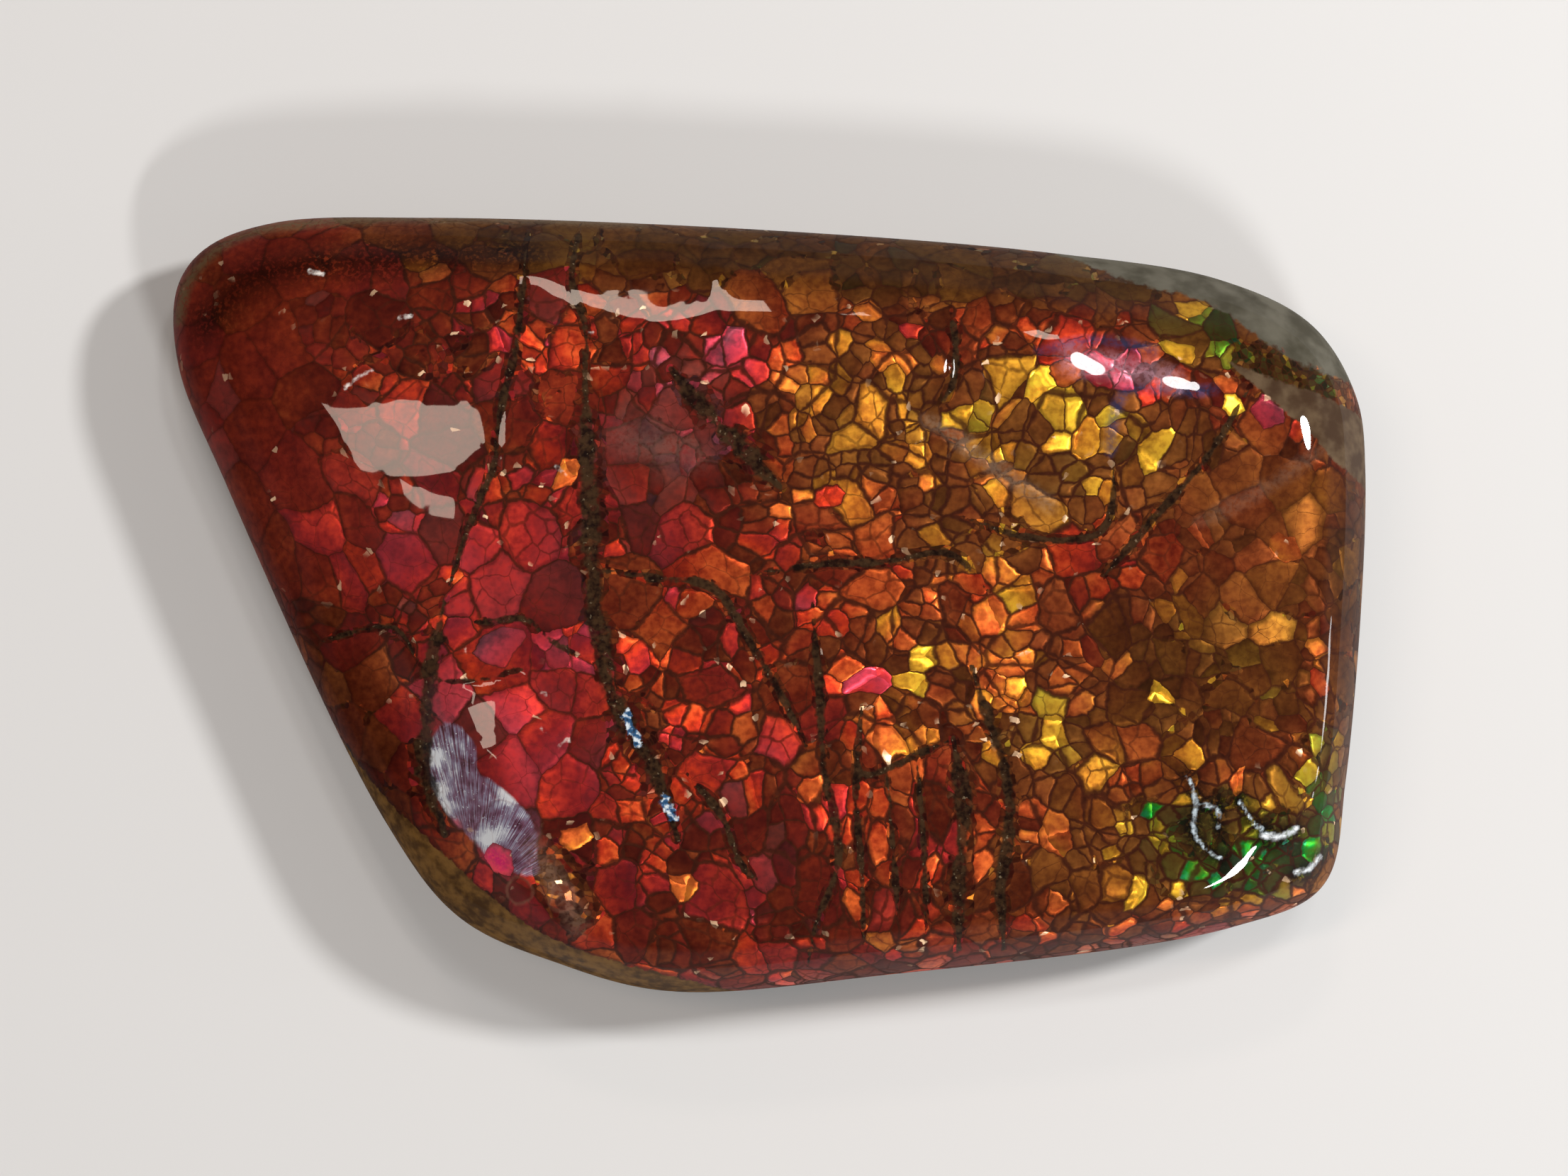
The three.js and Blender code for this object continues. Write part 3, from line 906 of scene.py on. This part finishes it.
# The lobe's silvery film, from dark lines to white; its palest colours are painted highlights.
FILM_COLOURS = [
    (0.26, (62, 32, 40)), (0.42, (122, 84, 108)), (0.56, (150, 146, 170)), (0.76, (240, 244, 248)),
]
VEIN_GLINT_COLOURS = [(0.3, (22, 26, 34)), (0.5, (52, 98, 142)), (0.62, (226, 236, 242))]
GAP_DARK, GAP_LIGHT = (28, 10, 5), (74, 32, 18)
# The first colour is a painted glint on a few crumbs, as if they caught a lamp; the second is pale specks in
# the vein stone.
CHIP_GLINT, STONE_FLECK = (255, 214, 172), (150, 132, 104)
RING_INSIDE, RING_EDGE = (92, 28, 18), (124, 80, 62)
# Stone: (dark, light, grain).
VEIN_STONE = (17, 8, 5), (60, 42, 25), 0.6
FLANK_STONE = (40, 28, 20), (92, 72, 50), 2.0
# Bare stone on the face: (its field, how ragged its edge is, the edge's soft step, dark, light, grain).
BARE_STONES = [
    ("ochre", 1.2, (-0.1, 0.1), (66, 42, 16), (116, 82, 38), 1.2),
    ("grey_stone", 2.0, (-0.2, 0.4), (66, 62, 50), (98, 94, 82), 3.0),
    ("brown_stone", 1.2, (0.0, 0.4), (66, 48, 34), (100, 82, 62), 2.2),
]

# Sizes of the noise's features, in millimetres.
CLOUD, MOTTLE, RAGGED, WOBBLE = 3.5, 0.8, 1.1, 1.4
# Soft steps: (from, to), or (from, to, value before, value after).
UNLIKE_BY_SEAMS = (0.1, 0.5, 0.3, 1.0)
CRUSHED_BY_SEAM, CRUSHED_BY_VEIN = (0.2, 1.0, 0.16, 0.0), (-1.6, 0.0, 0.0, 0.4)
CRUSHED_EDGE = (0.46, 0.52)
CRUMB_GLOW, GLOW_BY_MOTTLE = (0.78, 0.95), (0.3, 0.55, 0.8, 1.0)
TONE_BY_MOTTLE, TONE_BY_CLOUD = (0.25, 0.75, 0.76, 1.24), (0.3, 0.7, 0.76, 1.24)
TONE_BY_BORDER = (0.0, 0.5, 0.7, 1.0)
SEAM_WIDTH, CHIP_GAP_WIDTH = (0.36, 0.68, 0.14, 0.8), (0.35, 0.65, 0.1, 0.36)
GAP_FADE, GAP_BY_SEAMS = (0.2, 1.0, 1.0, 0.0), (0.0, 0.8, 0.4, 1.0)
CHIP_GLINT_CHANCE, CHIP_GLINT_BY_BORDER, CHIP_GLINT_BY_LIGHT = (1.002, 1.016), (0.3, 1.0, 1.0, 0.0), (0.9, 1.2)
CHIP_ROUNDING, PLATE_ROUNDING = (0.0, 0.55, 0.4, 0.0), (0.0, 0.9, 0.4, 0.0)
FILM_EDGE, SPARKLE_EDGE = (0.0, 0.12), (0.66, 0.78)
RING_AREA, RING_LINE = (-0.1, 0.1, 1.0, 0.0), (0.0, 0.35, 1.0, 0.0)
HAZE_GRIT = (0.38, 0.52, 0.45, 1.0)
VEIN_EDGE, VEIN_HEART, SPECK_EDGE, GLINT_EDGE = (-0.1, 0.45), (0.1, 0.6), (0.64, 0.74), (-0.6, -0.3)
FLANK_EDGE = (GIRDLE_Z - 2.6, GIRDLE_Z - 1.9, 1.0, 0.0)
COAT = (GIRDLE_Z + 5, GIRDLE_Z + 12, 0.12, 1.0)
# Other amounts.
CRUMB_WIDTH, CRUMB_GAP = 0.75, 0.12
GAP_COVER, FILM_COVER, RING_COVER, VEIN_COVER, SPECK_COVER, GLINT_COVER = 0.92, 0.92, 0.6, 0.93, 0.45, 0.9
FILM_LINES, FILM_STRETCH = 80.0, 0.3  # how close its lines lie, and how soon they change on their way
METAL_DULL, METAL_LIT, METAL_FILM = 0.15, 0.6, 0.25
ROUGH_SHELL, ROUGH_FILM, ROUGH_STONE = 0.34, 0.24, 0.5


class Ground(NamedTuple):
    """What every layer of the finish builds on."""

    tree: bpy.types.NodeTree
    place: Wire  # in millimetres
    cloud: Wire
    mottle: Wire


def nearest_piece(tree, group, level, plan_point):
    inputs = {"Plan": plan_point}
    for k in range(NEAREST):
        for kind in ("Middle", "Look"):
            inputs[f"{kind} {k}"] = field(tree, f"{level}_{kind.lower()}_{k}", "Vector")
    return use(tree, group, inputs)


def mosaic(ground, piece, crumbs):
    """The shell's colour and glow, its gaps, its small jewels, and how far it tilts."""
    tree, place, cloud, mottle = ground
    laid = field(tree, "shell_plan", "Vector")
    laid = laid + (clouds(laid, WOBBLE, output="Color") - 0.5) * 0.9
    plate, chip = (nearest_piece(tree, piece, level, laid) for level in ("plate", "chip"))
    crumb = use(tree, crumbs, {"Plan": laid, "Size": CRUMB_WIDTH, "Gap": CRUMB_GAP})
    crumb_random = parts(crumb["Random"])
    jewel = parts(chip["Middle"])[2]
    whole = parts(plate["Middle"])[2] * (1.0 - jewel)
    broken = 1.0 - whole
    key = plate["Middle"] * PLATE_KEY + chip["Middle"] * broken
    random = wired(tree, "TexWhiteNoise", "Color", {"Vector": key}, noise_dimensions="3D")
    hue, glow, tone = parts(vector_between(whole, chip["Look"], plate["Look"]))
    middle = vector_between(whole, chip["Middle"], plate["Middle"])
    border = between(whole, chip["Border"], plate["Border"])
    seams, patch_tone = field(tree, "seams"), field(tree, "tone")
    unlike = ease(seams, *UNLIKE_BY_SEAMS)
    # Painted shading: each piece is lighter on one side and darker on the other, as if tilted to the light,
    # and its hue shifts with it.
    across = worked((laid - middle) * IN_PLANE, "DOT_PRODUCT", random - 0.5, "Value")
    shading_across = across * between(whole, 1.0, 0.5) * unlike

    by_seam = ease(plate["Border"], *CRUSHED_BY_SEAM) + ease(field(tree, "vein"), *CRUSHED_BY_VEIN)
    strays = field(tree, "crushed") + (cloud - 0.5) + by_seam - glow * 0.2 - jewel
    crushed = ease(strays, *CRUSHED_EDGE)
    # The glow is painted light: how strongly each piece flashes, as if turned to the lamps.
    glow = between(whole, glow, glow * 0.65 + 0.05)
    glow = between(crushed, glow, ease(crumb_random[1], *CRUMB_GLOW)) * ease(mottle, *GLOW_BY_MOTTLE)
    hue = hue + (mottle - 0.5) * 0.12 + (cloud - 0.5) * 0.07 + shading_across * 0.07
    hue = hue + (crumb_random[0] - 0.5) * crushed * 0.2
    lit, dull = (spectrum(hue, [(row[0], row[k]) for row in SHELL_COLOURS]) for k in (1, 2))
    tone = ((tone - 1.0 + (parts(random)[1] - 0.5) * 0.3) * unlike + 1.0) * patch_tone * (shading_across * 0.3 + 1.0)
    tone = tone * ease(mottle, *TONE_BY_MOTTLE) * ease(cloud, *TONE_BY_CLOUD)
    tone = tone * between(crushed, ease(border, *TONE_BY_BORDER), crumb_random[2] * 0.7 + 0.25)

    seam_width = ease(cloud, *SEAM_WIDTH) * seams
    chip_gap_width = ease(clouds(place, 6.0, 2.0), *CHIP_GAP_WIDTH) * seams
    seam = ease(plate["Border"] / seam_width, *GAP_FADE) * (1.0 - jewel)
    chip_gap = ease(chip["Border"] / chip_gap_width, *GAP_FADE) * between(whole, 1.0, 0.6)
    gap = between(crushed, larger(seam, chip_gap), crumb["Gap"] * 0.7) * ease(seams, *GAP_BY_SEAMS)
    gap_colour = blend(mottle, srgb(*GAP_DARK), srgb(*GAP_LIGHT))
    colour = blend(gap * GAP_COVER, blend(glow, dull, lit) * tone, gap_colour)
    # Painted glints: a few crumbs by the pieces' edges, where the pieces are lit, turn pale as if catching a
    # lamp.
    chip_glint = ease(crumb_random[0] + cloud * 0.06, *CHIP_GLINT_CHANCE) * ease(border, *CHIP_GLINT_BY_BORDER)
    chip_glint = chip_glint * (1.0 - crumb["Gap"]) * ease(glow + patch_tone, *CHIP_GLINT_BY_LIGHT)
    colour = blend(chip_glint * crumb_random[2], colour, srgb(*CHIP_GLINT))

    rounding = chip["Outwards"] * (ease(chip["Border"], *CHIP_ROUNDING) * broken)
    rounding = rounding + plate["Outwards"] * ease(plate["Border"], *PLATE_ROUNDING)
    lean = (random - 0.5) * unlike * 0.5 + rounding * seams
    tilt = blend(crushed, lean, (crumb["Random"] - 0.5) * 1.1)
    return colour, glow, gap, jewel, tilt


def lobe_film(ground):
    """Where the silvery film lies on the lobe, and its colour, with painted star glints and sparkle on it."""
    tree, place, cloud, _ = ground
    from_fan = place - FILM_FAN
    across, up, _ = parts(from_fan)
    fan = {"X": worked(up, "ARCTAN2", across) * FILM_LINES, "Y": length(from_fan * IN_PLANE) * FILM_STRETCH}
    lines = clouds(wired(tree, "CombineXYZ", 0, fan), 1.0, 2.0)
    silver = field(tree, "silver")
    sparkle = ease(clouds(place, 0.3, 2.0) + silver * 0.2, *SPARKLE_EDGE)
    sheen = (lines - 0.5) * 0.9 + (clouds(place, 1.6) - 0.5) * 0.6 + silver * 0.75 + sparkle * 0.4 + 0.42
    return ease(field(tree, "lobe_film") + (cloud - 0.5) * 0.5, *FILM_EDGE), spectrum(sheen, FILM_COLOURS)


def with_marks(ground, colour):
    """Lays the rings and the hazes over the shell, among them painted reflections, glints and shade."""
    tree, place, cloud, mottle = ground
    for ring in RINGS:
        off_ring = length((place - ring) * IN_PLANE) - RING_RADIUS + (cloud - 0.5) * 2.0
        colour = blend(ease(off_ring, *RING_AREA) * RING_COVER, colour, srgb(*RING_INSIDE))
        colour = blend(ease(worked(off_ring, "ABSOLUTE"), *RING_LINE) * mottle, colour, srgb(*RING_EDGE))
    grit = ease(clouds(place, 0.45), *HAZE_GRIT)
    for name, tint, strength, half_width, _ in HAZES:
        uneven = (cloud - 0.5) * half_width + (mottle - 0.5) * 0.8
        haze = ease(field(tree, name) + uneven, -half_width, half_width * 0.1)
        colour = blend(haze * grit * strength, colour, srgb(*tint))
    return colour


def with_stone(ground, stone, colour):
    """Lays the veins, with painted glints on the main vein, and the bare stone over the shell, and gives
    their share, too.
    """
    tree, place, cloud, mottle = ground

    def of_stone(dark, light, grain):
        inputs = {"Place": place, "Dark": srgb(*dark), "Light": srgb(*light), "Grain": grain}
        return use(tree, stone, inputs)["Colour"]

    ragged = clouds(place, RAGGED, 4.0) - 0.5
    in_vein = field(tree, "vein")
    bare = vein = ease(in_vein + ragged + (cloud - 0.5) * 2.2, *VEIN_EDGE)
    colour = blend(vein * VEIN_COVER, colour, of_stone(*VEIN_STONE))
    speck = vein * ease(in_vein, *VEIN_HEART) * ease(clouds(place, 0.5, 2.0), *SPECK_EDGE)
    colour = blend(speck * SPECK_COVER, colour, srgb(*STONE_FLECK))
    glint = ease(field(tree, "vein_glint") + (mottle - 0.5) * 2.0, *GLINT_EDGE)
    glint_colour = spectrum(clouds(place, 0.7, 2.0), VEIN_GLINT_COLOURS)
    colour = blend(glint * GLINT_COVER, colour, glint_colour)
    for name, raggedness, edge, *kind in BARE_STONES:
        mask = ease(field(tree, name) + ragged * raggedness, *edge)
        colour = blend(mask, colour, of_stone(*kind))
        bare = larger(bare, mask)
    flank = ease(parts(place)[2] + ragged * 1.6 + (cloud - 0.5) * 5.0, *FLANK_EDGE)
    return blend(flank, colour, of_stone(*FLANK_STONE)), larger(bare, flank)


def ammolite_material(piece, crumbs, stone):
    material = bpy.data.materials.new("polished_ammolite")
    material.use_nodes = True
    tree = material.node_tree
    tree.nodes.clear()
    place = wired(tree, "TexCoord", "Object") / MM
    ground = Ground(tree, place, clouds(place, CLOUD), clouds(place, MOTTLE, 4.0))
    colour, glow, gap, jewel, tilt = mosaic(ground, piece, crumbs)
    film, film_colour = lobe_film(ground)
    film = film * (1.0 - larger(gap * 0.6, jewel))
    colour = with_marks(ground, blend(film * FILM_COVER, colour, film_colour))
    colour, bare = with_stone(ground, stone, colour)
    nacre = 1.0 - larger(bare, gap)
    shader = put(
        tree,
        "BsdfPrincipled",
        {
            "Base Color": colour,
            "Metallic": nacre * between(film, between(glow, METAL_DULL, METAL_LIT), METAL_FILM),
            "Roughness": between(nacre, ROUGH_STONE, between(film, ROUGH_SHELL, ROUGH_FILM)),
            "Normal": worked(wired(tree, "NewGeometry", "Normal") + tilt * nacre * IN_PLANE, "NORMALIZE"),
            "Specular IOR Level": 0.0,
            "Coat Weight": ease(parts(place)[2], *COAT),
            "Coat Roughness": 0.02,
            "Coat IOR": 1.38,
        },
    )
    tree.links.new(shader.outputs[0], put(tree, "OutputMaterial").inputs["Surface"])
    return material


# ---- Table, light and camera ----
TABLE_REACH = 1.5  # metres from its middle to a side
TABLE_COLOUR = (218, 218, 218)
TABLE_ROUGHNESS = 0.7


def table():
    bm = bmesh.new()
    bmesh.ops.create_grid(bm, x_segments=1, y_segments=1, size=TABLE_REACH)
    top = meshed("table_top", bm)
    material = bpy.data.materials.new("pale_table")
    material.use_nodes = True
    shader = material.node_tree.nodes["Principled BSDF"]
    shader.inputs["Base Color"].default_value = srgb(*TABLE_COLOUR)
    shader.inputs["Roughness"].default_value = TABLE_ROUGHNESS
    top.data.materials.append(material)


class Lamp(NamedTuple):
    """A flat lamp: where it stands as seen from the slab, in degrees and millimetres, and what it gives."""

    name: str
    azimuth: float
    elevation: float
    distance: float
    size: tuple
    roll: float
    power: float
    colour: tuple


WHITE = (1.0, 0.99, 0.975)
BEIGE = (1.0, 0.8, 0.66)
LAMPS = [
    Lamp("key", 20, 40, 1100, (130, 110), 0, 8.6, WHITE),
    Lamp("front fill", -62, 38, 1100, (220, 60), 20, 4.6, WHITE),
    Lamp("upper window", 95, 47.7, 915, (145, 74), 4, 0.47, BEIGE),
    Lamp("left window", 159.3, 63.4, 915, (384, 70), -48, 0.97, BEIGE),
    Lamp("low left window", 172.4, 66.5, 915, (192, 24), 90, 0.16, BEIGE),
    Lamp("first spark", 72.7, 65.6, 900, (50, 101), -7, 0.45, WHITE),
    Lamp("second spark", 56, 62, 900, (105, 80), 8, 0.72, WHITE),
    Lamp("edge light", -2, 17, 1100, (80, 60), 0, 0.2, WHITE),
]
SURROUND = 0.35  # brightness of the walls, low all around
OVERHEAD = 0.1
WALL_TOP = (0.38, 0.56)  # sines of the heights between which the walls end
AIM = Vector((0, 0, 10))


def lights():
    world = bpy.data.worlds.new("studio")
    bpy.context.scene.world = world
    world.use_nodes = True
    background = world.node_tree.nodes["Background"]
    background.inputs["Color"].default_value = (1, 1, 1, 1)
    upwards = parts(wired(world.node_tree, "TexCoord", "Generated"))[2]
    strength = ease(upwards, *WALL_TOP, SURROUND, OVERHEAD)
    world.node_tree.links.new(strength.socket, background.inputs["Strength"])
    for lamp in LAMPS:
        light = bpy.data.lights.new(lamp.name, "AREA")
        light.shape = "RECTANGLE" if lamp.colour == BEIGE else "ELLIPSE"  # the windows are the beige ones
        light.size, light.size_y = (side * MM for side in lamp.size)
        light.energy = lamp.power
        light.color = lamp.colour
        turn, rise = math.radians(lamp.azimuth), math.radians(lamp.elevation)
        away = Vector((math.cos(turn) * math.cos(rise), math.sin(turn) * math.cos(rise), math.sin(rise)))
        holder = into_scene(lamp.name, light)
        holder.location = (AIM + away * lamp.distance) * MM
        roll = Quaternion((0, 0, 1), math.radians(lamp.roll))
        holder.rotation_euler = (away.to_track_quat("Z", "Y") @ roll).to_euler()


FRAME_PIXELS = (2212, 1659)
PIXELS_PER_MM = 12.0  # at the widest section
SLAB_CENTRE_PIXEL = (1083, 849.5)
LENS, SENSOR = 70.0, 36.0
ELEVATION = 87.0


def camera():
    data = bpy.data.cameras.new("camera")
    data.lens, data.sensor_width = LENS, SENSOR
    eye = into_scene("camera", data)
    aim = Vector((
        (FRAME_PIXELS[0] / 2 - SLAB_CENTRE_PIXEL[0]) / PIXELS_PER_MM,
        (SLAB_CENTRE_PIXEL[1] - FRAME_PIXELS[1] / 2) / PIXELS_PER_MM,
        GIRDLE_Z,
    ))
    distance = FRAME_PIXELS[0] / PIXELS_PER_MM * LENS / SENSOR
    rise = math.radians(ELEVATION)
    back = Vector((0, -math.cos(rise), math.sin(rise)))
    eye.location = (aim + back * distance) * MM
    eye.rotation_euler = back.to_track_quat("Z", "Y").to_euler()
    bpy.context.scene.camera = eye


camera()
lights()
table()
slab = build_slab()
paint_fields(slab)
slab.data.materials.append(ammolite_material(piece_group(), crumbs_group(), stone_group()))
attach(slab, "root")
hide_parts(SLAB_NODE)
bpy.context.scene.view_settings.view_transform = "Standard"
